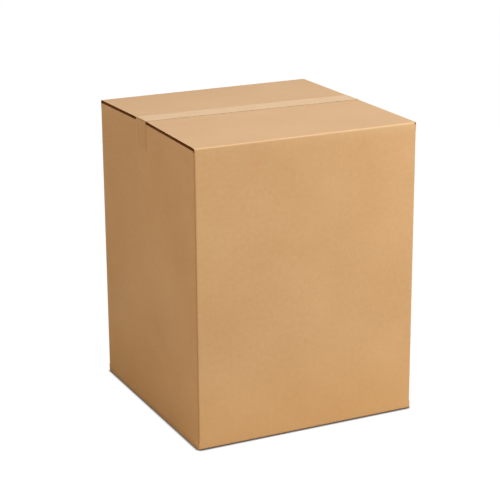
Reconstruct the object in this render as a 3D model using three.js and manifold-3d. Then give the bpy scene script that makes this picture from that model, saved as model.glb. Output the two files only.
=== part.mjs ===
// A closed shipping carton: one folded sheet of double-wall corrugated board, and the strip of tape on its seam.
// Millimetres, +Z up. The origin is the middle of the base, the front wall faces -Y, the seam runs along X.
import * as THREE from "three";
import { mergeVertices } from "three/addons/utils/BufferGeometryUtils.js";
import Module from "manifold-3d";

const wasm = await Module();
wasm.setup();

// Outside sizes of the closed carton: over the walls, and from the base to the top seam.
const width = 550;
const depth = 550;
const height = 700;

// The board is three liners with fine flutes under the outer one and coarse flutes under the middle one.
const liner = 0.6;
const fineFlute = 2.2;
const coarseFlute = 3;
const board = 3 * liner + fineFlute + coarseFlute;

// Folds. The board is crushed along each score, so its outer face turns on a small radius.
const flapFoldRadius = 5;
const cornerRadius = 4;
const foldSegments = 4;

// Flaps. The outer pair meets at the seam, and its top pair rises a little towards it.
const seamGap = 2;
const innerFlapGap = 3;
const topRise = 3;
const flapClearance = 0.3;

// Slots between the flaps, cut down to the scores. An outer flap stops just short of the side walls.
const slotWidth = 8.5;
const outerFlapInset = 1;

// Where a cut runs along the flutes, the paper between the liners stands back by this much.
const fluteRecess = 2;

// The maker's joint: a tab on the right wall, glued inside the back wall, whose cut end covers the corner.
const jointTab = 35;
const jointInset = 1;

// Sealing tape over the top seam, turned down both side walls. It was laid more to the back of the seam.
const tapeFront = 9;
const tapeBack = 49;
const tapeThickness = 0.3;
const tapeGlue = 0.2;
const tapeLeg = 70;

// How far a cut runs past the piece that it cuts, and how far a flap's wall reaches down into the walls.
const spare = 5;
const lap = 10;

const kraft = new THREE.MeshStandardMaterial({ color: 0xc4966a, roughness: 0.85, metalness: 0 });
const tapeFilm = new THREE.MeshStandardMaterial({ color: 0xd2ab7c, roughness: 0.45, metalness: 0 });

// three.js geometry and solids that can be joined and cut.
function toSolid(geometry) {
  geometry.deleteAttribute("normal");
  geometry.deleteAttribute("uv");
  const merged = mergeVertices(geometry, 1e-4);
  const mesh = new wasm.Mesh({
    numProp: 3,
    vertProperties: merged.attributes.position.array,
    triVerts: new Uint32Array(merged.index.array),
  });
  return new wasm.Manifold(mesh);
}

function toMesh(solid, material, name) {
  const { vertProperties, triVerts } = solid.getMesh();
  const geometry = new THREE.BufferGeometry();
  geometry.setAttribute("position", new THREE.BufferAttribute(vertProperties, 3));
  geometry.setIndex(new THREE.BufferAttribute(triVerts, 1));
  geometry.computeVertexNormals();
  const mesh = new THREE.Mesh(geometry, material);
  mesh.name = name;
  return mesh;
}

function extrude(shape, length) {
  return new THREE.ExtrudeGeometry(shape, {
    depth: length,
    bevelEnabled: false,
    curveSegments: foldSegments,
  });
}

// The two fluted layers, as depths below the board's outer face.
const fluteLayers = [
  [liner, liner + fineFlute],
  [2 * liner + fineFlute, 2 * liner + fineFlute + coarseFlute],
];

// A flap with the wall under it, seen along its fold. x is the distance in from the wall's outer face and
// y the height. Its outer face reaches faceHeight at the free edge, which lies reach in from the wall.
function flapSection({ faceHeight, rise, reach, foot }) {
  const slope = Math.atan2(rise, reach - flapFoldRadius);
  const along = new THREE.Vector2(Math.cos(slope), Math.sin(slope));
  const across = new THREE.Vector2(-along.y, along.x);
  const edge = (reach - flapFoldRadius * (1 - along.y)) / along.x;
  const centre = new THREE.Vector2(
    flapFoldRadius,
    faceHeight - flapFoldRadius * along.x - edge * along.y,
  );

  // A point of the flap at a depth below its outer face and a distance in from the fold's centre.
  const onFlap = (inset, distance) =>
    centre.clone().addScaledVector(across, flapFoldRadius - inset).addScaledVector(along, distance);

  // Inside the fold's centre there is no room for a radius, so the layer turns at a point.
  const turn = (inset) =>
    inset > flapFoldRadius ? ((inset - flapFoldRadius) * (1 - along.y)) / along.x : 0;

  // The outline of the board between two depths below its outer face.
  function layer(from, to, past = 0) {
    const shape = new THREE.Shape();
    const foldEnd = Math.PI / 2 + slope;
    shape.moveTo(from, foot - past);
    if (from < flapFoldRadius) {
      shape.lineTo(from, centre.y);
      shape.absarc(centre.x, centre.y, flapFoldRadius - from, Math.PI, foldEnd, true);
    } else {
      shape.lineTo(...onFlap(from, turn(from)).toArray());
    }
    shape.lineTo(...onFlap(from, edge + past).toArray());
    shape.lineTo(...onFlap(to, edge + past).toArray());
    if (to < flapFoldRadius) {
      shape.lineTo(...onFlap(to, 0).toArray());
      shape.absarc(centre.x, centre.y, flapFoldRadius - to, foldEnd, Math.PI, false);
    } else {
      shape.lineTo(...onFlap(to, turn(to)).toArray());
    }
    shape.lineTo(to, foot - past);
    return shape;
  }

  return { layer, underside: onFlap(board, turn(board)).y };
}

// Stands a section in its wall: x points in from the wall, y is up or down, and the extrusion is centred.
function placed(geometry, inward, up, wallOffset, length) {
  const along = new THREE.Vector3().crossVectors(inward, up);
  const matrix = new THREE.Matrix4().makeBasis(inward, up, along);
  matrix.setPosition(inward.clone().multiplyScalar(-wallOffset));
  return geometry.translate(0, 0, -length / 2).applyMatrix4(matrix);
}

function flap(section, inward, up, wallOffset, length) {
  let solid = toSolid(placed(extrude(section.layer(0, board), length), inward, up, wallOffset, length));
  const grooveLength = fluteRecess + spare;
  for (const [from, to] of fluteLayers) {
    for (const end of [-1, 1]) {
      const groove = extrude(section.layer(from, to, spare), grooveLength);
      groove.translate(0, 0, end * (length / 2 - fluteRecess + grooveLength / 2));
      solid = solid.subtract(toSolid(placed(groove, inward, up, wallOffset, grooveLength)));
    }
  }
  return solid;
}

// Each end of the carton has an outer pair of flaps on the front and back walls, over an inner pair.
const flapReach = (depth - seamGap) / 2;
const innerReach = Math.min(flapReach, (width - innerFlapGap) / 2);

function endFlaps(up, faceHeight, rise) {
  const outerTop = flapSection({ faceHeight, rise, reach: flapReach, foot: 0 });
  const innerFace = outerTop.underside - flapClearance;
  const wallEnd = innerFace - flapFoldRadius;
  const foot = wallEnd - lap;
  const outer = flapSection({ faceHeight, rise, reach: flapReach, foot });
  const inner = flapSection({ faceHeight: innerFace, rise: 0, reach: innerReach, foot });
  const solids = [];
  for (const side of [-1, 1]) {
    const fromFront = new THREE.Vector3(0, side, 0);
    const fromSide = new THREE.Vector3(side, 0, 0);
    solids.push(flap(outer, fromFront, up, depth / 2, width - 2 * outerFlapInset));
    solids.push(flap(inner, fromSide, up, width / 2, depth - 2 * slotWidth));
  }
  return { solids, wallEnd };
}

// The four walls in plan. The outline starts at the cut end of the back wall and ends round the joint's fold.
function wallPlan() {
  const right = width / 2;
  const back = depth / 2;
  const r = cornerRadius;
  const quarter = Math.PI / 2;
  const plan = new THREE.Shape();
  plan.moveTo(right - jointInset, back);
  plan.lineTo(-right + r, back);
  plan.absarc(-right + r, back - r, r, quarter, 2 * quarter, false);
  plan.lineTo(-right, -back + r);
  plan.absarc(-right + r, -back + r, r, 2 * quarter, 3 * quarter, false);
  plan.lineTo(right - r, -back);
  plan.absarc(right - r, -back + r, r, 3 * quarter, 4 * quarter, false);
  plan.lineTo(right, back - board - r);
  plan.absarc(right - r, back - board - r, r, 0, quarter, false);
  plan.lineTo(right - jointInset, back - board);

  const inRight = right - board;
  const inBack = back - board;
  const inside = new THREE.Path();
  inside.moveTo(-inRight, -inBack);
  inside.lineTo(-inRight, inBack);
  inside.lineTo(inRight - jointTab, inBack);
  inside.lineTo(inRight - jointTab, inBack - board);
  inside.lineTo(inRight, inBack - board);
  inside.lineTo(inRight, -inBack);
  plan.holes.push(inside);
  return plan;
}

function walls(bottom, top) {
  const tall = top - bottom;
  let solid = toSolid(extrude(wallPlan(), tall).translate(0, 0, bottom));
  for (const [from, to] of fluteLayers) {
    const groove = new THREE.BoxGeometry(fluteRecess + spare, to - from, tall + 2 * spare);
    groove.translate(
      width / 2 - jointInset - fluteRecess + (fluteRecess + spare) / 2,
      depth / 2 - (from + to) / 2,
      bottom + tall / 2,
    );
    solid = solid.subtract(toSolid(groove));
  }
  return solid;
}

function makeCarton() {
  const topFlaps = endFlaps(new THREE.Vector3(0, 0, 1), height, topRise);
  const bottomFlaps = endFlaps(new THREE.Vector3(0, 0, -1), 0, 0);
  let solid = walls(-bottomFlaps.wallEnd, topFlaps.wallEnd);
  for (const piece of [...topFlaps.solids, ...bottomFlaps.solids]) {
    solid = solid.add(piece);
  }
  return toMesh(solid, kraft, "carton");
}

// The tape follows the rise of the flaps: its ridge is over the seam, and it falls to both sides.
function makeTape() {
  const inside = width / 2 + tapeGlue;
  const outside = inside + tapeThickness;
  const underside = height + tapeGlue;
  const legEnd = height - topRise - tapeLeg;
  const strip = new THREE.Shape();
  strip.moveTo(-outside, legEnd);
  strip.lineTo(-inside, legEnd);
  strip.lineTo(-inside, underside);
  strip.lineTo(inside, underside);
  strip.lineTo(inside, legEnd);
  strip.lineTo(outside, legEnd);
  strip.lineTo(outside, underside + tapeThickness);
  strip.lineTo(-outside, underside + tapeThickness);

  // Two steps give each outline three rows of points: the front edge, the ridge and the back edge.
  const tape = new THREE.ExtrudeGeometry(strip, { depth: 2, steps: 2, bevelEnabled: false });
  tape.translate(0, 0, -1).rotateX(Math.PI / 2);
  const fall = topRise / (flapReach - flapFoldRadius);
  const places = tape.getAttribute("position");
  for (let i = 0; i < places.count; i++) {
    const row = Math.round(places.getY(i));
    const fromSeam = row > 0 ? tapeBack : row * tapeFront;
    places.setY(i, fromSeam);
    places.setZ(i, places.getZ(i) - Math.abs(fromSeam) * fall);
  }
  return toMesh(toSolid(tape), tapeFilm, "top_tape");
}

const carton = new THREE.Group();
carton.add(makeCarton(), makeTape());

export default carton;
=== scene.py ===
# %% [markdown]
# # A closed shipping carton, taped along its top seam
#
# The real object is one sheet of double-wall corrugated board, cut and scored flat, folded into a box and
# held shut by one strip of tape. This lesson models the folded sheet as solid board with rounded scores,
# gives its cut ends the paper layers that show there, lays the tape over the seam, and then spends most of
# its effort on the paper itself, because plain brown paper is nearly all that a viewer sees.
#
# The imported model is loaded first. It is a fixed frame: sizes are read from it and nothing in it is moved.

# %% Load the frame
import math

import bmesh
import bpy
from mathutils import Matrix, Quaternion, Vector


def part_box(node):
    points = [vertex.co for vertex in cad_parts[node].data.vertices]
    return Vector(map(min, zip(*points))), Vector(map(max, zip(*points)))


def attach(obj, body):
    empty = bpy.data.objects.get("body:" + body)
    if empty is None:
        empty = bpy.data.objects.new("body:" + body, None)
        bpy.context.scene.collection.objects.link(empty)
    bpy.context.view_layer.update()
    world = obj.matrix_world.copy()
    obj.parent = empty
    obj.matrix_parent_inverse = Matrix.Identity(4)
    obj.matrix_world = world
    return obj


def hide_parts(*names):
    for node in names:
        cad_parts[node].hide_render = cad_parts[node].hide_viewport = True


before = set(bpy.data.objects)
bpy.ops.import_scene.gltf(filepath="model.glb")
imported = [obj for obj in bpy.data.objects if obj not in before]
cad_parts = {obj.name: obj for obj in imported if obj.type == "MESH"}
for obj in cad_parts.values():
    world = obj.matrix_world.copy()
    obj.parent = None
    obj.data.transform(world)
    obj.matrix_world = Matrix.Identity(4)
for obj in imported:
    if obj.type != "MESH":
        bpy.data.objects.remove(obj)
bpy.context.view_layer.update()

MM = 0.001
low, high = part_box("carton")
width, depth, height = high - low
print("carton", [round(side, 4) for side in (width, depth, height)])

# %% [markdown]
# ## The sizes of the board
#
# Double-wall board has three flat liners with two fluted layers between them. A score crushes all five, so
# the outside of a fold turns on a radius smaller than the board is thick, and the inside is a sharp crease.

# %% Board, folds, flaps and slots
LINER = 0.6 * MM
FINE_FLUTE = 2.2 * MM
COARSE_FLUTE = 3.0 * MM
BOARD = 3 * LINER + FINE_FLUTE + COARSE_FLUTE
FLUTE_LAYERS = [
    (LINER, LINER + FINE_FLUTE),
    (2 * LINER + FINE_FLUTE, 2 * LINER + FINE_FLUTE + COARSE_FLUTE),
]
FLAP_FOLD_RADIUS = 5 * MM
INNER_FOLD_RADIUS = 2 * MM
PRESSED_FOLD_RADIUS = 1 * MM
LEAST_FOLD_RADIUS = 1 * MM
CORNER_RADIUS = 4 * MM
FOLD_SEGMENTS = 6
SEAM_GAP = 2 * MM
INNER_FLAP_GAP = 3 * MM
TOP_RISE = 3 * MM
FLAP_CLEARANCE = 0.3 * MM
SLOT = 8.5 * MM
END_INSET = 1 * MM
PRESSED_INSET = 0.3 * MM
FLUTE_RECESS = 3 * MM
JOINT_TAB = 35 * MM
JOINT_INSET = 1 * MM
JOINT_GLUE = 0.1 * MM
SPARE = 0.8 * MM
LAP = 10 * MM
SAME_PLACE = 0.001 * MM
print("board", round(BOARD / MM, 2), "mm")

# %% [markdown]
# ## A prism from a few points
#
# Every wall and flap is an outline swept in a straight line, so one helper draws the outline as a face and
# extrudes it. A second helper finds the long edge at a point of the outline and rounds it with a bevel,
# which is how the folds get their radius. Lofting or subdividing would also work, but an outline of six
# points keeps the board's thickness exact.

# %% Prisms and rounded folds
def prism(points, sweep):
    """A closed solid from a planar outline and the vector that it is swept along."""
    bm = bmesh.new()
    face = bm.faces.new([bm.verts.new(point) for point in points])
    swept = bmesh.ops.extrude_face_region(bm, geom=[face])
    moved = [item for item in swept["geom"] if isinstance(item, bmesh.types.BMVert)]
    bmesh.ops.translate(bm, vec=sweep, verts=moved)
    bmesh.ops.recalc_face_normals(bm, faces=bm.faces)
    return bm


def round_fold(bm, point, sweep, radius):
    """Rounds the edge that starts at a point of the outline and runs along the sweep."""
    ends = (Vector(point), Vector(point) + sweep)
    for edge in bm.edges:
        places = [vert.co for vert in edge.verts]
        if all(min((place - end).length for place in places) < SAME_PLACE for end in ends):
            bmesh.ops.bevel(
                bm,
                geom=[edge],
                offset=radius,
                offset_type="OFFSET",
                segments=FOLD_SEGMENTS,
                profile=0.5,
                affect="EDGES",
                material=-1,
            )
            return
    raise ValueError("no edge to fold at that point")


def joined(parts):
    """One bmesh that holds all of the given ones."""
    whole = bmesh.new()
    for part in parts:
        piece = bpy.data.meshes.new("part")
        part.to_mesh(piece)
        part.free()
        whole.from_mesh(piece)
        bpy.data.meshes.remove(piece)
    return whole


def new_object(name, bm):
    """Links a mesh object that is made from a bmesh."""
    mesh = bpy.data.meshes.new(name)
    bm.to_mesh(mesh)
    bm.free()
    piece = bpy.data.objects.new(name, mesh)
    bpy.context.scene.collection.objects.link(piece)
    return piece


# %% [markdown]
# ## The section of a flap
#
# Cut across its fold, a flap and the wall under it look like a long L. The outline is worked out for any
# layer of the board, given as two depths below its outer face, so the same function draws the whole board
# and, later, the cutters that clear the fluted layers out of its cut ends. The top pair of flaps rises
# a little towards the seam, because the flaps under it push back.

# %% Flap sections
def flap_section(face_z, rise, reach, foot):
    """A function that draws any layer of a flap, and the height of its underside at the fold."""
    slope = math.atan2(rise, reach - FLAP_FOLD_RADIUS)
    along = Vector((math.cos(slope), math.sin(slope)))
    across = Vector((-along.y, along.x))
    free_edge = Vector((reach, face_z))

    def corner(inset):
        """Where the board at this depth turns from the wall to the flap."""
        start = free_edge - across * inset
        return start + along * ((inset - start.x) / along.x)

    def layer(outer, inner, past=0.0):
        """The board between two depths. A cutter reaches past the board, and starts at the fold."""
        start = corner(BOARD).y if past else foot
        far = along * past
        return [
            Vector((outer, start)),
            corner(outer),
            free_edge - across * outer + far,
            free_edge - across * inner + far,
            corner(inner),
            Vector((inner, start)),
        ]

    return layer, corner(BOARD).y


def stood(points, inward, up, wall, start):
    """Places an outline in its wall: x is the distance in from the outer face, y the height."""
    along = inward.cross(up)
    return [inward * (p.x - wall) + up * p.y + along * start for p in points]


def flap_board(layer, inward, up, wall, run, radius):
    """A flap with its rounded fold."""
    along = inward.cross(up)
    outline = stood(layer(0, BOARD), inward, up, wall, -run / 2)
    board = prism(outline, along * run)
    round_fold(board, outline[1], along * run, radius)
    return board


def flute_cutters(layer, inward, up, wall, run):
    """The cutters that open the fluted layers at the two cut ends of a flap."""
    along = inward.cross(up)
    sweep = along * (FLUTE_RECESS + SPARE)
    cutters = []
    for outer, inner in FLUTE_LAYERS:
        for start in (-run / 2 - SPARE, run / 2 - FLUTE_RECESS):
            groove = stood(layer(outer, inner, SPARE), inward, up, wall, start)
            cutter = prism(groove, sweep)
            round_fold(cutter, groove[1], sweep, max(FLAP_FOLD_RADIUS - outer, LEAST_FOLD_RADIUS))
            cutters.append(cutter)
    return cutters


# %% [markdown]
# ## Eight flaps
#
# At each end of the carton the inner pair folds in first from the side walls, and the outer pair closes
# over it from the front and back walls. The outer pair runs the whole width, so its cut ends show at the
# sides. Each inner fold is tighter than the outer ones, because the outer pair is pulled down on it. At the
# top the cut ends stand open. At the base the weight of the carton has pressed them shut, so only the top
# gets cutters for its flutes.

# %% Flaps at the top and the base
flap_reach = (depth - SEAM_GAP) / 2
inner_reach = min(flap_reach, (width - INNER_FLAP_GAP) / 2)


def end_flaps(up, face_z, rise, inner_fold, inset, cut_open):
    """The four flaps of one end, the cutters for their flutes, and where the walls under them end."""
    _, underside = flap_section(face_z, rise, flap_reach, 0)
    inner_face = underside - FLAP_CLEARANCE
    wall_end = inner_face - inner_fold
    outer, _ = flap_section(face_z, rise, flap_reach, wall_end - LAP)
    inner, _ = flap_section(inner_face, 0, inner_reach, wall_end - LAP)
    boards, cutters = [], []
    for side in (-1, 1):
        for layer, inward, wall, run, radius in (
            (outer, Vector((0, side, 0)), depth / 2, width - 2 * inset, FLAP_FOLD_RADIUS),
            (inner, Vector((side, 0, 0)), width / 2, depth - 2 * SLOT, inner_fold),
        ):
            boards.append(flap_board(layer, inward, up, wall, run, radius))
            if cut_open:
                cutters.extend(flute_cutters(layer, inward, up, wall, run))
    return boards, cutters, wall_end


top_boards, top_cutters, top_wall_end = end_flaps(
    Vector((0, 0, 1)), height, TOP_RISE, INNER_FOLD_RADIUS, END_INSET, True
)
base_boards, _, base_wall_end = end_flaps(
    Vector((0, 0, -1)), 0, 0, PRESSED_FOLD_RADIUS, PRESSED_INSET, False
)
print("walls run from", round(-base_wall_end / MM, 1), "to", round(top_wall_end / MM, 1), "mm")

# %% [markdown]
# ## Four walls and the maker's joint
#
# In plan the walls are one strip of board with three upright folds. Its ends meet at the right back corner,
# where a tab on the right wall is glued inside the back wall, so the back wall's cut end covers the corner.

# %% Walls
def wall_solid():
    """The walls with their rounded corners, and the cutters for the open edge of the joint."""
    right, back = width / 2, depth / 2
    in_right, in_back = right - BOARD, back - BOARD
    tab_end = in_right - JOINT_TAB
    plan = [
        (right - JOINT_INSET, back),
        (-right, back),
        (-right, -back),
        (right, -back),
        (right, in_back - JOINT_GLUE),
        (tab_end, in_back - JOINT_GLUE),
        (tab_end, in_back - BOARD),
        (in_right, in_back - BOARD),
        (in_right, -in_back),
        (-in_right, -in_back),
        (-in_right, in_back),
        (right - JOINT_INSET, in_back),
    ]
    bottom = -base_wall_end
    tall = Vector((0, 0, top_wall_end - bottom))
    outline = [Vector((x, y, bottom)) for x, y in plan]
    walls = prism(outline, tall)
    for fold in outline[1:5]:
        round_fold(walls, fold, tall, CORNER_RADIUS)
    cutters = []
    inner_x = right - JOINT_INSET - FLUTE_RECESS
    for outer, inner in FLUTE_LAYERS:
        groove = [
            Vector((x, y, bottom - SPARE))
            for x, y in (
                (inner_x, back - inner),
                (right + SPARE, back - inner),
                (right + SPARE, back - outer),
                (inner_x, back - outer),
            )
        ]
        cutters.append(prism(groove, tall + Vector((0, 0, 2 * SPARE))))
    return walls, cutters


wall_board, wall_cutters = wall_solid()


# %% [markdown]
# ## Joining the sheet and opening its cut ends
#
# The walls and flaps are one sheet, so they are united with an exact boolean. Their grooves are cut before
# that, so that those of the wall don't run on through the flaps. A cutter with its own material passes it to
# the faces that it cuts, which gives the fluted paper its darker colour, most of which is painted shade.

# %% One folded sheet
def plain_material(name):
    made = bpy.data.materials.new(name)
    made.use_nodes = True
    return made


kraft = plain_material("kraft liner")
fluting = plain_material("fluted paper")


def with_boolean(base, other, operation):
    """Applies an exact boolean and deletes the other object."""
    step = base.modifiers.new("join or cut", "BOOLEAN")
    step.operation = operation
    step.solver = "EXACT"
    step.object = other
    if operation == "DIFFERENCE":
        step.material_mode = "TRANSFER"
    graph = bpy.context.evaluated_depsgraph_get()
    result = bpy.data.meshes.new_from_object(base.evaluated_get(graph))
    base.modifiers.clear()
    base.data = result
    bpy.data.objects.remove(other)


def surfaced(piece, material):
    piece.data.materials.append(material)
    return piece


sheet = surfaced(new_object("folded_carton", wall_board), kraft)
with_boolean(sheet, surfaced(new_object("wall_grooves", joined(wall_cutters)), fluting), "DIFFERENCE")
flaps = surfaced(new_object("flaps", joined(top_boards + base_boards)), kraft)
flap_grooves = surfaced(new_object("flap_grooves", joined(top_cutters)), fluting)
with_boolean(flaps, flap_grooves, "DIFFERENCE")
with_boolean(sheet, flaps, "UNION")
print("sheet", len(sheet.data.polygons), "faces,", [m.name for m in sheet.data.materials])

# %% [markdown]
# ## A grid of cuts to shape the board
#
# A wall is still one flat face, and a flat face can't bulge. Bisecting the whole sheet with evenly spaced
# planes gives every face a grid of points and keeps the walls' inner and outer faces in step. Subdividing
# would also add points, but it would pull the rounded folds out of shape.

# %% Cutting the sheet into a grid
GRID_STEP = 25 * MM
UPRIGHT_STEP = 50 * MM
FLAT_ANGLE = math.radians(0.3)


def cut_into_grid(bm, axis, lowest, highest, step):
    """Cuts every face with evenly spaced planes across one axis."""
    count = round((highest - lowest) / step)
    normal = Vector([float(axis == i) for i in range(3)])
    for i in range(1, count):
        place = normal * (lowest + (highest - lowest) * i / count)
        everything = [*bm.verts, *bm.edges, *bm.faces]
        bmesh.ops.bisect_plane(bm, geom=everything, dist=SAME_PLACE, plane_co=place, plane_no=normal)


bm = bmesh.new()
bm.from_mesh(sheet.data)
bmesh.ops.remove_doubles(bm, verts=bm.verts, dist=SAME_PLACE)
bmesh.ops.dissolve_limit(
    bm, angle_limit=FLAT_ANGLE, verts=bm.verts, edges=bm.edges, delimit={"MATERIAL"}
)
for axis, step in enumerate((GRID_STEP, GRID_STEP, UPRIGHT_STEP)):
    cut_into_grid(bm, axis, low[axis], high[axis], step)
print("cut sheet", len(bm.faces), "faces,", sum(not edge.is_manifold for edge in bm.edges), "open edges")

# %% [markdown]
# ## Cut ends of the liners
#
# Where the board was slotted and trimmed, the liners' ends stand in shade, and their darker colour is
# painted shade.
# Those faces all lie in one upright plane at each side, so they are found by their place and given a
# material of their own.

# %% Marking the cut ends
SQUARE_ON = 0.9
under_top_flaps = top_wall_end + INNER_FOLD_RADIUS + FLAP_CLEARANCE / 2
cut_edge = plain_material("cut liner edges")
sheet.data.materials.append(cut_edge)
CUT_EDGE_INDEX = len(sheet.data.materials) - 1
marked = 0
for face in bm.faces:
    middle = face.calc_center_median()
    in_plane = abs(abs(middle.x) - (width / 2 - END_INSET)) < 10 * SAME_PLACE
    on_joint = middle.x > 0 and middle.y > depth / 2 - BOARD
    if in_plane and abs(face.normal.x) > SQUARE_ON and (middle.z > under_top_flaps or on_joint):
        face.material_index = CUT_EDGE_INDEX
        marked += 1
print("cut ends on", marked, "faces")

# %% [markdown]
# ## The give of the board
#
# Nothing made of card is flat. The closed walls belly out by less than a millimetre, and the top flaps
# stand a little higher at the left than at the right, where the tape has pulled them down. The inner flaps
# and the top of the side walls rise with them, so the cut ends show as one even band. All of these are sums
# that fade to nothing at the folds, so the corners stay where the frame has them.

# %% Bulge and crown
WALL_BULGE = 0.8 * MM
LEFT_LIFT = 1.7 * MM
RIGHT_DROP = 2.5 * MM
WALL_RISE_REACH = 60 * MM
fold_z = height - TOP_RISE
inner_underside = top_wall_end + INNER_FOLD_RADIUS - BOARD


def fading(share):
    """1 in the middle and 0 at the ends, for a share of the way from -1 to 1."""
    return max(0.0, 1 - share * share) ** 2


def lift(x):
    """How far the seam stands above its height in the frame."""
    share = min(max((x - low.x) / width, 0), 1)
    return LEFT_LIFT * (1 - share) - RIGHT_DROP * share


def in_from_fold(y):
    """0 at the front and back folds of the top, and 1 at the seam."""
    return max(0.0, 1 - abs(y) / (depth / 2 - FLAP_FOLD_RADIUS))


def top_face(x, y):
    """The height of the top flaps' outer face."""
    return fold_z + (TOP_RISE + lift(x)) * in_from_fold(y)


def given(place):
    """Where a point of the flat-walled sheet ends up."""
    moved = place.copy()
    up_share = (place.z - height / 2) / (height / 2 - LAP)
    for across, along, half, other in ((0, 1, width / 2, depth / 2), (1, 0, depth / 2, width / 2)):
        if abs(place[across]) > half - BOARD - SAME_PLACE:
            out = WALL_BULGE * fading(up_share) * fading(place[along] / other)
            moved[across] += math.copysign(out, place[across])
    if place.z > under_top_flaps:
        moved.z += lift(place.x) * in_from_fold(place.y)
    else:
        share = min(max(1 + (place.z - inner_underside) / WALL_RISE_REACH, 0), 1)
        moved.z += (TOP_RISE + lift(place.x)) * in_from_fold(place.y) * share
    return moved


for vert in bm.verts:
    vert.co = given(vert.co)
left_seam, right_seam = (round(top_face(x, 0) / MM, 2) for x in (low.x, high.x))
print("seam at", left_seam, "mm on the left and", right_seam, "mm on the right")

# %% [markdown]
# ## Paper coordinates
#
# The flutes and the fibres run with the sheet, over its folds. So each corner of each face gets the place
# that it had on the flat sheet, in metres: across the flutes, and along them. The wall or flap that a face
# belongs to is told by how far its normal points that way. An automatic unwrap would scatter the faces, and
# the pattern would break at every fold.

# %% The place of each corner on the flat sheet
SHEET_UV = "sheet"
MOSTLY = 0.7
HALFWAY = 0.5
PARTLY = 0.4


def flat_place(place, normal):
    """Metres across and along the flutes, for a point on a face with this normal."""
    from_front = place.y + depth / 2
    from_back = depth / 2 - place.y
    behind = normal.y > MOSTLY or (abs(normal.z) > HALFWAY and place.y > 0)
    if behind:
        across = 2 * width - place.x
    elif abs(normal.x) > PARTLY and abs(normal.z) < HALFWAY:
        across = place.x + math.copysign(from_front, place.x)
    else:
        across = place.x
    reach = from_back if place.y > 0 else from_front
    if place.z > height / 2:
        return across, place.z + reach
    return across, place.z - reach


def lay_flat(bm):
    """Writes the flat sheet's coordinates to every corner."""
    layer = bm.loops.layers.uv.new(SHEET_UV)
    for face in bm.faces:
        side_wall = abs(face.normal.x) > MOSTLY
        for loop in face.loops:
            across, along = flat_place(loop.vert.co, face.normal)
            loop[layer].uv = (across, loop.vert.co.z if side_wall else along)


SHARP_ANGLE = math.radians(25)
bm.normal_update()
lay_flat(bm)
for face in bm.faces:
    face.smooth = True
for edge in bm.edges:
    edge.smooth = edge.is_manifold and edge.calc_face_angle(0) < SHARP_ANGLE
bm.to_mesh(sheet.data)
bm.free()
even = sheet.modifiers.new("even shading", "WEIGHTED_NORMAL")
even.keep_sharp = True
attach(sheet, "root")
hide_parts("carton")
print("sheet coordinates on", len(sheet.data.loops), "corners")

# %% [markdown]
# ## Fluted paper in the cut ends
#
# A cut along the flutes opens each fluted layer, and its paper shows as a thin line that wanders between
# the liners, because no cut runs quite true to the flutes. Each line here is a ribbon: a strip of points
# extruded to a narrow sheet, then made solid. Modelling every flute of the board would cost thousands of
# faces that nobody can see.

# %% Ribbons of fluted paper
MEDIUM = 0.3 * MM
RIBBON_STEP = 4 * MM
RIBBON_SHORT = 0.4 * MM
RIBBON_DEPTH = FLUTE_RECESS - RIBBON_SHORT
WANDER = 0.32
WANDER_SHARES_AND_LENGTHS = ((0.7, 0.19), (0.3, 0.057))


def wandering(distance, start):
    """A share of the layer's depth, from 0 to 1, that drifts along the cut."""
    drift = sum(
        share * math.sin(2 * math.pi * distance / length + start * k)
        for k, (share, length) in enumerate(WANDER_SHARES_AND_LENGTHS, 1)
    )
    return 0.5 + WANDER * drift


def ribbon(bm, points, sweep):
    """A thin paper strip whose edge follows the points."""
    verts = [bm.verts.new(point) for point in points]
    edges = [bm.edges.new(pair) for pair in zip(verts, verts[1:])]
    made = bmesh.ops.extrude_edge_only(bm, edges=edges)["geom"]
    moved = [item for item in made if isinstance(item, bmesh.types.BMVert)]
    bmesh.ops.translate(bm, vec=sweep, verts=moved)


def flap_ribbons(bm):
    """The fluted paper at both cut ends of the outer pair of top flaps."""
    end = width / 2 - END_INSET - RIBBON_SHORT
    run = flap_reach - FLAP_FOLD_RADIUS
    steps = round(run / RIBBON_STEP)
    for side in (-1, 1):
        for x_side in (-1, 1):
            for k, (outer, inner) in enumerate(FLUTE_LAYERS):
                points = []
                for i in range(steps + 1):
                    inward = FLAP_FOLD_RADIUS + run * i / steps
                    share = wandering(inward, side + 3 * x_side + 5 * k)
                    depth_below = outer + (inner - outer) * share
                    z = fold_z + TOP_RISE * i / steps - depth_below
                    points.append(given(Vector((x_side * end, side * (depth / 2 - inward), z))))
                ribbon(bm, points, Vector((-x_side * RIBBON_DEPTH, 0, 0)))


def joint_ribbons(bm):
    """The fluted paper at the upright cut end of the back wall."""
    end = width / 2 - JOINT_INSET - RIBBON_SHORT
    bottom = -base_wall_end
    tall = top_wall_end - bottom
    steps = round(tall / RIBBON_STEP)
    for k, (outer, inner) in enumerate(FLUTE_LAYERS):
        points = []
        for i in range(steps + 1):
            z = bottom + tall * i / steps
            y = depth / 2 - outer - (inner - outer) * wandering(z, 2 + k)
            points.append(Vector((end, y, z)))
        ribbon(bm, points, Vector((-RIBBON_DEPTH, 0, 0)))


bm = bmesh.new()
flap_ribbons(bm)
joint_ribbons(bm)
bmesh.ops.recalc_face_normals(bm, faces=bm.faces)
bmesh.ops.solidify(bm, geom=bm.faces, thickness=MEDIUM)
bmesh.ops.recalc_face_normals(bm, faces=bm.faces)
print("ribbons", len(bm.faces), "faces,", sum(not edge.is_manifold for edge in bm.edges), "open edges")
medium_paper = plain_material("medium paper")
ribbons = surfaced(new_object("fluted_paper", bm), medium_paper)
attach(ribbons, "root")

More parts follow.
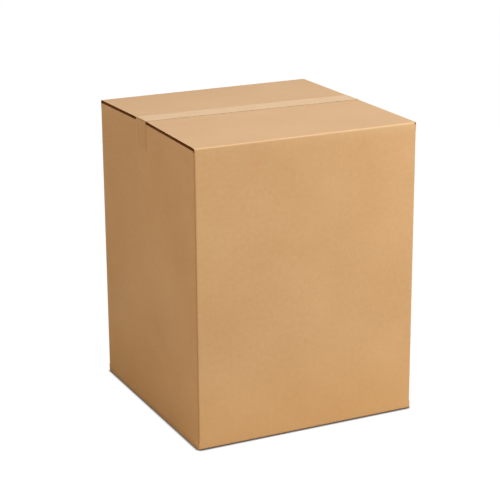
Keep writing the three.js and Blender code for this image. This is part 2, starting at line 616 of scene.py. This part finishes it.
# %% [markdown]
# ## The tape
#
# Packing tape is cut flat, laid along the seam and pressed down both side walls. It is modelled the same
# way: a flat grid is made once, and each column of it is laid on one point of the path that the tape takes
# over the carton. A curve with a flat bevel would do for the path, but it would twist at the turns and it
# couldn't carry the torn teeth of the dispenser at both ends.

# %% The path of the tape
TAPE_FRONT = 9 * MM
TAPE_BACK = 49 * MM
TAPE_THICKNESS = 0.3 * MM
TAPE_GLUE = 0.2 * MM
TAPE_LEG = 70 * MM
TAPE_TURN = 1.6 * MM
TURN_SEGMENTS = 6
LEG_STEP = 5 * MM
TOP_STEP = 6 * MM
TAPE_ROWS = 48
TOOTH = 0.9 * MM
STRIP_UV = "strip"


def tape_path():
    """Points from one leg's end to the other's, as x and the height above the flaps."""
    outside = width / 2 + TAPE_GLUE
    leg_rows = round(TAPE_LEG / LEG_STEP)
    leg = [(-outside, -TAPE_LEG * (1 - i / leg_rows)) for i in range(leg_rows)]
    turn = []
    for i in range(TURN_SEGMENTS + 1):
        angle = math.pi / 2 * i / TURN_SEGMENTS
        in_from_side = TAPE_TURN * (1 - math.cos(angle))
        turn.append((-outside + in_from_side, -TAPE_TURN * (1 - math.sin(angle))))
    first, last = turn[-1][0] + TOP_STEP, -turn[-1][0] - TOP_STEP
    top_rows = round((last - first) / TOP_STEP)
    top = [(first + (last - first) * i / top_rows, 0.0) for i in range(top_rows + 1)]
    near_end = leg + turn
    far_end = [(-x, drop) for x, drop in reversed(near_end)]
    return near_end + top + far_end


path = tape_path()
print("tape path", len(path), "points")

# %% [markdown]
# ## Laying the tape
#
# The strip follows the slope of both flaps, bridges the gap between them, and has the fine puckers of film
# that was pulled on by hand.

# %% Wrapping the flat grid
PUCKER = 0.12 * MM
PUCKER_SIZE = 22 * MM


def pucker(along, across):
    """How far the film stands off: bent rows across the strip, broken up by slanting ripples."""
    rows = math.sin(along / PUCKER_SIZE * 2.1 + 3 * math.sin(across / PUCKER_SIZE))
    ripples = math.sin(along / PUCKER_SIZE * 0.7 - across / PUCKER_SIZE * 3.3 + 1.1)
    return PUCKER * 0.5 * (1 + rows * ripples)


def behind_seam(row):
    """Where a row of the grid lies on the carton."""
    return -TAPE_FRONT + (TAPE_FRONT + TAPE_BACK) * row / TAPE_ROWS


bm = bmesh.new()
bmesh.ops.create_grid(bm, x_segments=len(path) - 1, y_segments=TAPE_ROWS, size=1, calc_uvs=False)
strip_layer = bm.loops.layers.uv.new(STRIP_UV)
lengths = [0.0]
for (x0, z0), (x1, z1) in zip(path, path[1:]):
    lengths.append(lengths[-1] + math.hypot(x1 - x0, z1 - z0))
flat = {}
for vert in bm.verts:
    column = round((vert.co.x + 1) / 2 * (len(path) - 1))
    row = round((vert.co.y + 1) / 2 * TAPE_ROWS)
    flat[vert] = (column, row)
    x, drop = path[column]
    y = behind_seam(row)
    raised = pucker(lengths[column], y)
    out, up = (raised, 0.0) if drop < -TAPE_TURN else (0.0, raised)
    end_column = column in (0, len(path) - 1)
    tooth = TOOTH * (row % 2) if end_column else 0.0
    z = top_face(x, y) + TAPE_GLUE + drop + tooth + up
    vert.co = Vector((x + math.copysign(out, x), y, z))
for face in bm.faces:
    face.smooth = True
    for loop in face.loops:
        column, row = flat[loop.vert]
        loop[strip_layer].uv = (lengths[column], behind_seam(row))
bm.normal_update()
tape = new_object("sealing_tape", bm)
film = plain_material("tape film")
surfaced(tape, film)
thick = tape.modifiers.new("film thickness", "SOLIDIFY")
thick.thickness = TAPE_THICKNESS
thick.offset = 1
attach(tape, "root")
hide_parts("top_tape")
first_normal = [round(part, 2) for part in tape.data.polygons[0].normal]
print("tape", round(lengths[-1], 3), "m long, its first face points", first_normal)

# %% [markdown]
# ## Writing materials as sums
#
# A material is a sum of patterns, and it reads best written as one. The first class holds the output of a
# node and turns the arithmetic signs into Math nodes. The second adds any other node to one material.

# %% Wires and finishes
class Wire:
    """The output of a node, with the signs of arithmetic."""

    def __init__(self, finish, socket):
        self.finish = finish
        self.socket = socket

    def math(self, operation, first, second):
        return self.finish.node("ShaderNodeMath", {"operation": operation}, {0: first, 1: second})

    def __add__(self, other):
        return self.math("ADD", self, other)

    __radd__ = __add__

    def __sub__(self, other):
        return self.math("SUBTRACT", self, other)

    def __rsub__(self, other):
        return self.math("SUBTRACT", other, self)

    def __mul__(self, other):
        return self.math("MULTIPLY", self, other)

    __rmul__ = __mul__

    def __pow__(self, other):
        return self.math("POWER", self, other)

    def __abs__(self):
        return self.math("ABSOLUTE", self, 0.0)

    def largest(self, other):
        return self.math("MAXIMUM", self, other)

    def smallest(self, other):
        return self.math("MINIMUM", self, other)


OBJECT_PLACE = 3


class Finish:
    """The nodes of one material or world."""

    def __init__(self, owner):
        self.tree = owner.node_tree

    def node(self, kind, settings, sockets, output=0):
        """Adds a node: its settings first, then the values or links of its sockets."""
        made = self.tree.nodes.new(kind)
        for name, value in settings.items():
            setattr(made, name, value)
        for name, value in sockets.items():
            self.feed(made, name, value)
        return Wire(self, made.outputs[output])

    def feed(self, node, name, value):
        if isinstance(value, Wire):
            self.tree.links.new(value.socket, node.inputs[name])
        else:
            node.inputs[name].default_value = value

    def shader(self, **sockets):
        """Sets the sockets of the Principled BSDF, with spaces written as underscores."""
        principled = self.tree.nodes["Principled BSDF"]
        for name, value in sockets.items():
            self.feed(principled, name.replace("_", " "), value)

    def place(self):
        """Where a point is in the frame, in metres."""
        return self.node("ShaderNodeTexCoord", {}, {}, OBJECT_PLACE)

    def flat(self, uv_map):
        """Where a point is on its flat sheet or strip, in metres."""
        return self.node("ShaderNodeUVMap", {"uv_map": uv_map}, {})

    def mixed(self, factor, first, second):
        """One colour laid over another. Inputs 6 and 7 and output 2 are the Mix node's colours."""
        return self.node("ShaderNodeMix", {"data_type": "RGBA"}, {0: factor, 6: first, 7: second}, 2)

    def step(self, value, start, end, before=0.0, after=1.0):
        """Goes smoothly from one value to another as the input goes from start to end."""
        return self.node(
            "ShaderNodeMapRange",
            {"interpolation_type": "SMOOTHSTEP"},
            {"Value": value, "From Min": start, "From Max": end, "To Min": before, "To Max": after},
        )

    def near(self, distance, start, end, share=1.0):
        """The share up to the start of a distance, fading to nothing at its end."""
        return self.step(distance, start, end, share, 0.0)

    def noise(self, place, scale, detail, roughness=0.5):
        sockets = {"Vector": place, "Scale": scale, "Detail": detail, "Roughness": roughness}
        return self.node("ShaderNodeTexNoise", {"noise_dimensions": "3D"}, sockets)

    def stretched(self, place, scale, shift):
        return self.node("ShaderNodeMapping", {}, {"Vector": place, "Location": shift, "Scale": scale})

    def streaks(self, place, scale, detail, roughness=0.5, shift=(0, 0, 0)):
        """Noise with a scale of its own in each direction."""
        return self.noise(self.stretched(place, scale, shift), 1.0, detail, roughness)

    def split(self, vector):
        """The three parts of a vector."""
        parts = self.node("ShaderNodeSeparateXYZ", {}, {"Vector": vector}).socket.node
        return [Wire(self, parts.outputs[i]) for i in range(3)]

    def from_spot(self, place, centre, size):
        """The distance from the centre of a spot, which is 1 at its edge."""
        shift = [-at / side for at, side in zip(centre, size)]
        inside = self.stretched(place, [1 / side for side in size], shift)
        return self.node("ShaderNodeVectorMath", {"operation": "LENGTH"}, {0: inside}, 1)

    def bump(self, height_map, distance, strength=1.0):
        sockets = {"Height": height_map, "Distance": distance, "Strength": strength}
        return self.node("ShaderNodeBump", {}, sockets)


print("finishes can be written as sums")

# %% [markdown]
# ## Kraft liner
#
# Kraft paper is unbleached, so its colour comes from the fibres: a warm buff with slow clouds, finer
# mottling, and scattered dark and pale flecks. Faint lines show where the flutes are glued behind it. The
# top folds carry a painted highlight, a pale line that is partly real scuffing, the wall is a little paler
# just under them towards the right, and the top is painted paler and whiter as a painted sheen. The top's
# edge over the cut ends is paler too. Towards the base the paper is painted browner and darker as painted
# shade, a painted shadow lies along the foot that stands on the floor and faintly across the base, and the
# upright folds are painted darker as painted shade, most on the left. There is one faint pinkish rub near
# the top of the front wall, and a painted dark spot of shade at its top right corner, where the corner slot
# lies.
# Where a mark changes along the carton, its ramp says where the change starts and ends, and the share of the
# mark before and after it.

# %% Kraft paper
KRAFT = (0.585, 0.345, 0.152, 1)
KRAFT_DARK = (0.46, 0.245, 0.093, 1)
KRAFT_PALE = (0.78, 0.53, 0.288, 1)
EVEN_SHARE = 0.70
FLUTE_PITCH = 6.35 * MM
FLUTE_SHADE = 0.015
FLUTE_RELIEF = 0.15
FLECK_DARK = (0.30, 0.145, 0.05, 1)
DARK_FLECK_SHARE = 0.38
PALE_FLECK_SHARE = 0.3
# Pale tint for the painted highlight on the top folds, partly real scuffing, and for the paler places under
# them and over the cut ends.
PALE_TINT = (0.78, 0.585, 0.36, 1)
CUT_END_PALE_SHARE = 0.6
PALER_BELOW_TOP_REACH = 30 * MM
PALER_BELOW_TOP_RAMP = (-0.1, 0.25, 0.04, 0.2)
# Painted shade along the upright folds, strongest on the left.
UPRIGHT_FOLD_SHADE_RAMP = (0.0, 0.2, 0.6, 0.1)
# Painted sheen: the top is made paler and whiter.
PAINTED_TOP_SHEEN = (0.67, 0.48, 0.36, 1)
PAINTED_TOP_SHEEN_SHARE = 0.25
# Painted shade: browner and darker towards the base.
BASE_SHADE_BROWN = (0.66, 0.33, 0.08, 1)
BASE_SHADE_SHARE = 0.22
BASE_SHADE_REACH = 0.25
# Painted shadow along the foot of the walls.
FOOT_SHADE = (0.10, 0.07, 0.05, 1)
FOOT_SHADE_SHARE = 0.65
FOOT_SHADE_RAMP = (2 * MM, 12 * MM, 1.0, 0.15)
RUB = (0.62, 0.31, 0.16, 1)
RUB_SHARE = 0.6
SLOT_SHADE_SHARE = 0.9
RUB_PLACE = Vector((-0.128, -depth / 2, 0.645))
RUB_SIZE = Vector((0.016, 0.02, 0.009))
# Painted shade: a dark spot at the front wall's top right corner, where the corner slot lies.
SLOT_SHADE = (0.14, 0.06, 0.025, 1)
SLOT_SHADE_PLACE = Vector((width / 2 - 2 * MM, -depth / 2 + 1 * MM, fold_z - 3 * MM))
SLOT_SHADE_SIZE = Vector((0.005, 0.005, 0.003))


def kraft_finish():
    f = Finish(kraft)
    paper = f.flat(SHEET_UV)
    place = f.place()
    across, _, _ = f.split(paper)
    x, y, z = f.split(place)

    clouds = f.noise(paper, 5.0, 3.0)
    mottle = f.noise(paper, 90.0, 4.0, 0.6)
    fibres = f.streaks(paper, (1400, 420, 1), 3.0, 0.6)
    dark_flecks = f.step(f.streaks(paper, (330, 230, 1), 1.0, shift=(3, 7, 0)), 0.69, 0.77)
    pale_flecks = f.step(f.streaks(paper, (350, 250, 1), 1.0, shift=(11, 2, 0)), 0.69, 0.79)
    flute = f.node("ShaderNodeMath", {"operation": "SINE"}, {0: across * (2 * math.pi / FLUTE_PITCH)})
    patchy = f.streaks(paper, (9, 3, 1), 2.0, shift=(5, 5, 0))

    shade = 0.5 + (clouds - 0.5) * 0.6 + (mottle - 0.5) * 0.35 + (fibres - 0.5) * 0.35
    shade = shade + flute * patchy * FLUTE_SHADE
    colour = f.mixed(f.step(shade, 0.15, 0.85), KRAFT_DARK, KRAFT_PALE)
    colour = f.mixed(EVEN_SHARE, colour, KRAFT)
    colour = f.mixed(dark_flecks * DARK_FLECK_SHARE, colour, FLECK_DARK)
    colour = f.mixed(pale_flecks * PALE_FLECK_SHARE, colour, KRAFT_PALE)

    from_ends = depth / 2 - abs(y)
    from_sides = width / 2 - abs(x)
    from_cut = width / 2 - END_INSET - abs(x)
    on_top = f.step(z, fold_z - 1 * MM, fold_z)
    # Painted highlight along the top folds, partly real scuffing.
    crest = f.near(from_ends.largest(fold_z - z), 0.8 * MM, 3.2 * MM)
    # Painted shade along the upright folds.
    upright_fold_shade = f.near(from_ends.largest(from_sides), 1.5 * MM, 4.5 * MM)
    # Paler along the top's edge over the cut ends.
    paler_over_cut_ends = f.near(from_cut, 0.5 * MM, 3.0 * MM) * f.step(z, fold_z - 2 * MM, fold_z - 1 * MM)
    # Paler just under the top folds, more so towards the right.
    paler_below_top = f.near(fold_z - z, 0.0, PALER_BELOW_TOP_REACH) * f.step(x, *PALER_BELOW_TOP_RAMP) * (1 - crest)
    # Painted shade, browner and darker towards the base.
    painted_base_shade = f.near(z, 0.0, BASE_SHADE_REACH, BASE_SHADE_SHARE)
    # Painted shadow along the foot of the walls, and a faint darkening across the base.
    painted_foot_shade = f.near(z, 0.5 * MM, 3.5 * MM, FOOT_SHADE_SHARE) * f.step(from_ends.smallest(from_sides), *FOOT_SHADE_RAMP)
    colour = f.mixed(paler_below_top * (1 - on_top), colour, PALE_TINT)
    # Painted sheen on the top.
    colour = f.mixed(on_top * PAINTED_TOP_SHEEN_SHARE, colour, PAINTED_TOP_SHEEN)
    colour = f.mixed(painted_base_shade, colour, BASE_SHADE_BROWN)
    colour = f.mixed(painted_foot_shade, colour, FOOT_SHADE)
    colour = f.mixed(upright_fold_shade * f.step(x, *UPRIGHT_FOLD_SHADE_RAMP), colour, KRAFT_DARK)
    colour = f.mixed(crest * (0.45 + mottle * 0.5), colour, PALE_TINT)
    colour = f.mixed(paler_over_cut_ends * CUT_END_PALE_SHARE, colour, PALE_TINT)

    rub = f.near(f.from_spot(place, RUB_PLACE, RUB_SIZE) + (mottle - 0.5) * 1.2, 0.2, 1.0, RUB_SHARE)
    # Painted shade: a dark spot where the corner slot lies.
    painted_slot_shade = f.near(f.from_spot(place, SLOT_SHADE_PLACE, SLOT_SHADE_SIZE), 0.5, 1.0, SLOT_SHADE_SHARE)
    colour = f.mixed(rub, colour, RUB)
    colour = f.mixed(painted_slot_shade, colour, SLOT_SHADE)

    relief = fibres * 0.5 + mottle * 0.5 + flute * FLUTE_RELIEF
    f.shader(
        Base_Color=colour,
        Roughness=0.85 + (mottle - 0.5) * 0.12 - crest * 0.12,
        Specular_IOR_Level=0.3,
        Normal=f.bump(relief, 0.06 * MM, 0.4),
    )


kraft_finish()
print("kraft paper finished")

# %% [markdown]
# ## Fluting
#
# The paper between the liners is thinner, rougher and darker, and it sits in its own shade. Three materials
# share one recipe, and their dark browns are mostly painted shade, far darker than the paper itself: the
# backs of the grooves are the darkest, because they lie deepest, then come the edges of the paper in them
# and the cut ends of the liners.

# %% Fluted layers
# Painted shade: these browns are much darker than the paper itself.
GROOVE_SHADED = (0.26, 0.085, 0.018, 1)
GROOVE_SHADED_DARK = (0.14, 0.04, 0.007, 1)
MEDIUM_EDGE_SHADED = (0.36, 0.13, 0.03, 1)
MEDIUM_SHADED_DARK = (0.20, 0.06, 0.012, 1)
LINER_EDGE_SHADED = (0.38, 0.15, 0.038, 1)
LINER_SHADED_DARK = (0.21, 0.065, 0.014, 1)


def rough_paper(material, light, dark):
    f = Finish(material)
    torn = f.noise(f.place(), 380.0, 3.0, 0.6)
    f.shader(
        Base_Color=f.mixed(f.step(torn, 0.35, 0.65), dark, light),
        Roughness=0.9 + (torn - 0.5) * 0.1,
        Specular_IOR_Level=0.1,
        Normal=f.bump(torn, 0.3 * MM, 0.6),
    )


rough_paper(fluting, GROOVE_SHADED, GROOVE_SHADED_DARK)
rough_paper(medium_paper, MEDIUM_EDGE_SHADED, MEDIUM_SHADED_DARK)
rough_paper(cut_edge, LINER_EDGE_SHADED, LINER_SHADED_DARK)
print("fluted layers finished")

# %% [markdown]
# ## Tape film
#
# The real film is buff and slightly see-through, so the paper shows in it faintly. Here it is opaque, and
# has faint clouds of its own. Along the seam its front edge carries a fine painted shadow line with painted
# glints, the film just behind it is a little paler, and its back edge is pressed down and nearly disappears.
# The strip is painted paler on the top than on the legs, as a painted sheen. On the legs it has the paper's
# colour, their back edges and tips carry a painted highlight, and a painted shade line marks the crease at
# the turn.

# %% Buff film
# Painted sheen: the film on top is paler than the same film on the legs.
SHEENED_FILM = (0.72, 0.51, 0.325, 1)
SHEENED_FILM_DULL = (0.67, 0.46, 0.28, 1)
FILM_ON_LEGS = (0.595, 0.36, 0.17, 1)
EDGE_SHADOW_LINE = (0.24, 0.16, 0.09, 1)
# Pale tint for the painted highlight on the legs' back edges and tips, and for the paler film behind the
# front edge.
EDGE_PALE = (0.80, 0.54, 0.30, 1)
# Painted glints along the tape's front edge.
PAINTED_GLINT = (0.95, 0.88, 0.76, 1)
CREASE_PLACE = TAPE_LEG - TAPE_TURN


def film_finish():
    f = Finish(film)
    strip = f.flat(STRIP_UV)
    along, across, _ = f.split(strip)
    from_front = across + TAPE_FRONT
    from_back = TAPE_BACK - across
    from_tip = along.smallest(lengths[-1] - along)

    pressed = f.streaks(strip, (14, 60, 1), 3.0)
    rolled = f.streaks(strip, (3, 900, 1), 2.0)
    broken = f.step(f.streaks(strip, (70, 1, 1), 2.0, shift=(4, 0, 0)), 0.42, 0.55)
    glints = f.step(f.streaks(strip, (120, 1, 1), 2.0, shift=(9, 0, 0)), 0.62, 0.68)
    clouds = pressed * 0.7 + rolled * 0.3

    on_leg = f.near(from_tip, TAPE_LEG, TAPE_LEG + 2 * MM)
    # Painted highlight along the legs' back edges and tips.
    leg_edge_highlight = f.near(from_back, 0.8 * MM, 2.2 * MM).largest(f.near(from_tip, 1 * MM, 3 * MM))
    # Paler film a few millimetres behind the front edge, on the top only.
    paler_behind_front = f.near(from_front, 3 * MM, 9 * MM)
    # Painted shade along the crease at the turn.
    crease = f.near(abs(from_tip - CREASE_PLACE), 0.8 * MM, 1.8 * MM)
    # Painted shadow line along the front edge.
    line = f.near(from_front, 0.8 * MM, 2.0 * MM)
    # Painted highlight: glints along the front edge.
    bright = f.near(from_front, 0.3 * MM, 1.5 * MM) * glints
    colour = f.mixed(f.step(clouds, 0.35, 0.65), SHEENED_FILM_DULL, SHEENED_FILM)
    colour = f.mixed(on_leg, colour, FILM_ON_LEGS)
    colour = f.mixed(leg_edge_highlight * on_leg * 0.65, colour, EDGE_PALE)
    colour = f.mixed(paler_behind_front * (1 - on_leg) * 0.35, colour, EDGE_PALE)
    colour = f.mixed(crease * 0.5, colour, EDGE_SHADOW_LINE)
    colour = f.mixed(line * (0.45 + broken * 0.4) * (1 - on_leg * 0.75), colour, EDGE_SHADOW_LINE)
    colour = f.mixed(bright * (1 - on_leg), colour, PAINTED_GLINT)
    f.shader(
        Base_Color=colour,
        Roughness=0.6 + (pressed - 0.5) * 0.2,
        Specular_IOR_Level=0.03,
        Normal=f.bump(clouds, 0.1 * MM, 0.4),
    )


film_finish()
print("film finished")

# %% [markdown]
# ## Floor and backdrop
#
# The carton stands on a seamless white ground. The floor is white to the camera and to reflections, and a
# plain pale grey to light that bounces, so that it doesn't glare on the walls. That grey is darker beside
# the carton on the side away from the key light, where a real floor lies in its shade, so the shaded walls
# darken softly towards the base. The floor's shadow is kept in two shares: a thin dark line where the carton
# meets it, and a faint soft one around that.

# %% White ground
WHITE = (1, 1, 1, 1)
FLOOR_SIZE = 12.0
FLOOR_GREY = (0.5, 0.48, 0.45, 1)
FLOOR_SHADE = (0.05, 0.035, 0.02, 1)
SHADE_REACH = 0.26
SHADE_WAY = Vector((-0.62, 0.78))
SHADE_START = (-0.03, 0.10)
CONTACT_REACH = 12 * MM
SOFT_SHARE = 0.05
CONTACT_TONE = (0.09, 0.07, 0.06, 1)


def seen_directly(f):
    """1 for rays of the camera, and for reflected and transmitted rays."""
    outputs = f.node("ShaderNodeLightPath", {}, {}).socket.node.outputs
    rays = [Wire(f, outputs[f"Is {kind} Ray"]) for kind in ("Camera", "Glossy", "Transmission")]
    return rays[0].largest(rays[1]).largest(rays[2])


def floor_finish(material):
    f = Finish(material)
    x, y, _ = f.split(f.place())
    from_walls = (abs(x) - width / 2).largest(abs(y) - depth / 2)
    from_key = x * SHADE_WAY.x + y * SHADE_WAY.y
    shade = f.near(from_walls, 0, SHADE_REACH) * f.step(from_key, *SHADE_START)
    f.shader(Base_Color=f.mixed(shade, FLOOR_GREY, FLOOR_SHADE), Roughness=0.9)
    principled = Wire(f, f.tree.nodes["Principled BSDF"].outputs[0])
    clear = f.node("ShaderNodeAmbientOcclusion", {"samples": 16}, {"Distance": CONTACT_REACH}, 1)
    contact = f.near(clear, 0.5, 0.97)
    tone = f.mixed(contact ** 1.5, WHITE, CONTACT_TONE)
    ground = f.node("ShaderNodeEmission", {}, {"Color": tone, "Strength": 1 + SOFT_SHARE})
    soft = f.node("ShaderNodeBsdfDiffuse", {}, {"Color": WHITE})
    white = f.node("ShaderNodeMixShader", {}, {0: SOFT_SHARE, 1: ground, 2: soft})
    chosen = f.node("ShaderNodeMixShader", {}, {0: seen_directly(f), 1: principled, 2: white})
    f.feed(f.tree.nodes["Material Output"], "Surface", chosen)


bm = bmesh.new()
bmesh.ops.create_grid(bm, x_segments=1, y_segments=1, size=FLOOR_SIZE / 2)
floor = surfaced(new_object("floor", bm), plain_material("white ground"))
floor_finish(floor.data.materials[0])
print("floor", FLOOR_SIZE, "m wide")

# %% [markdown]
# ## Light
#
# One broad key light stands low at the front right and one lamp hangs over the carton, so the top is
# brightest, the front a little less and the left wall is in shade. A weak warm fill keeps that wall from
# going grey, a weaker lamp behind grazes the far edge of the top, and the world adds an even white light
# from all round. Large lamps are used because a soft shadow needs a large source.

# %% Lamps and world
WORLD_LEVEL = 0.27
KEY_POWER = 104.0
FILL_POWER = 21.0
TOP_POWER = 38.0
GLANCING_POWER = 4.0
TARGET = Vector((0, 0, height * 0.55))


def lamp(name, place, size, power, colour):
    """A round lamp that is turned to the carton."""
    data = bpy.data.lights.new(name, "AREA")
    data.shape = "DISK"
    data.size = size
    data.energy = power
    data.color = colour
    made = bpy.data.objects.new(name, data)
    made.location = place
    made.rotation_mode = "QUATERNION"
    made.rotation_quaternion = (Vector(place) - TARGET).to_track_quat("Z", "Y")
    bpy.context.scene.collection.objects.link(made)


lamp("key", (2.4, -2.7, 1.5), 1.6, KEY_POWER, (1.0, 0.975, 0.965))
lamp("warm fill", (-2.6, -0.6, 1.0), 1.6, FILL_POWER, (1.0, 0.77, 0.57))
lamp("over the top", (0.2, -0.4, 3.0), 1.8, TOP_POWER, (0.97, 1.0, 1.0))
lamp("glancing", (1.05, 2.2, 1.6), 1.6, GLANCING_POWER, (1.0, 0.8, 0.6))

world = bpy.data.worlds.new("white room")
bpy.context.scene.world = world
world.use_nodes = True
room = Finish(world)
background = world.node_tree.nodes["Background"]
level = seen_directly(room) * (1 - WORLD_LEVEL) + WORLD_LEVEL
room.feed(background, "Color", WHITE)
room.feed(background, "Strength", level)
print("world", WORLD_LEVEL, "and four lamps")

# %% [markdown]
# ## Camera
#
# The camera's place was worked out from the carton's seven visible corners, with the carton at its stated
# size. It stands to the left of the front, a little above the carton, and leans by a third of a degree.

# %% The photograph's view
CAMERA_PLACE = Vector((-1.65071, -3.38873, 1.54412))
AZIMUTH = math.radians(-25.815)
ELEVATION = math.radians(17.4925)
ROLL = math.radians(-0.3389)
FOCAL_PIXELS = 1652.33
IMAGE_PIXELS = 500
SENSOR = 36.0

back = Vector((
    math.sin(AZIMUTH) * math.cos(ELEVATION),
    -math.cos(AZIMUTH) * math.cos(ELEVATION),
    math.sin(ELEVATION),
))
lens = bpy.data.cameras.new("view")
lens.sensor_width = SENSOR
lens.lens = FOCAL_PIXELS * SENSOR / IMAGE_PIXELS
camera = bpy.data.objects.new("view", lens)
camera.location = CAMERA_PLACE
camera.rotation_mode = "QUATERNION"
camera.rotation_quaternion = back.to_track_quat("Z", "Y") @ Quaternion((0, 0, 1), ROLL)
bpy.context.scene.collection.objects.link(camera)
bpy.context.scene.camera = camera
bpy.context.scene.view_settings.view_transform = "Standard"
print("lens", round(lens.lens, 2), "mm")
